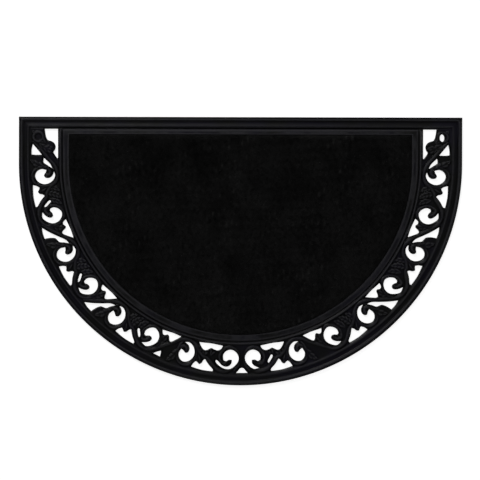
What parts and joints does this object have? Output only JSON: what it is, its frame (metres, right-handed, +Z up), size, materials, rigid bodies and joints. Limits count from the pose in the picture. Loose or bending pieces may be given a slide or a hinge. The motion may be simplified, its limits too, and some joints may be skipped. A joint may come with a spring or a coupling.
{
  "type": "doormat",
  "caption": "Half-round doormat: a moulded rubber tray with a pierced leaf-scroll border, a beaded rim and a raised ledge round a flat coir pad",
  "frame": {"origin": "middle of the mat's bounding box, on the floor under it", "axes": "+X runs along the straight back edge, +Y points to the straight back edge, which lies against the threshold, and +Z is up"},
  "size_m": [0.762, 0.461, 0.012],
  "materials": {
    "rubber": "moulded black rubber with a faint worn sheen",
    "coir": "dense black-dyed coir pile, matt"
  },
  "bodies": {
    "root": {"rubber_tray": "rubber", "coir_pad": "coir"}
  },
  "joints": []
}
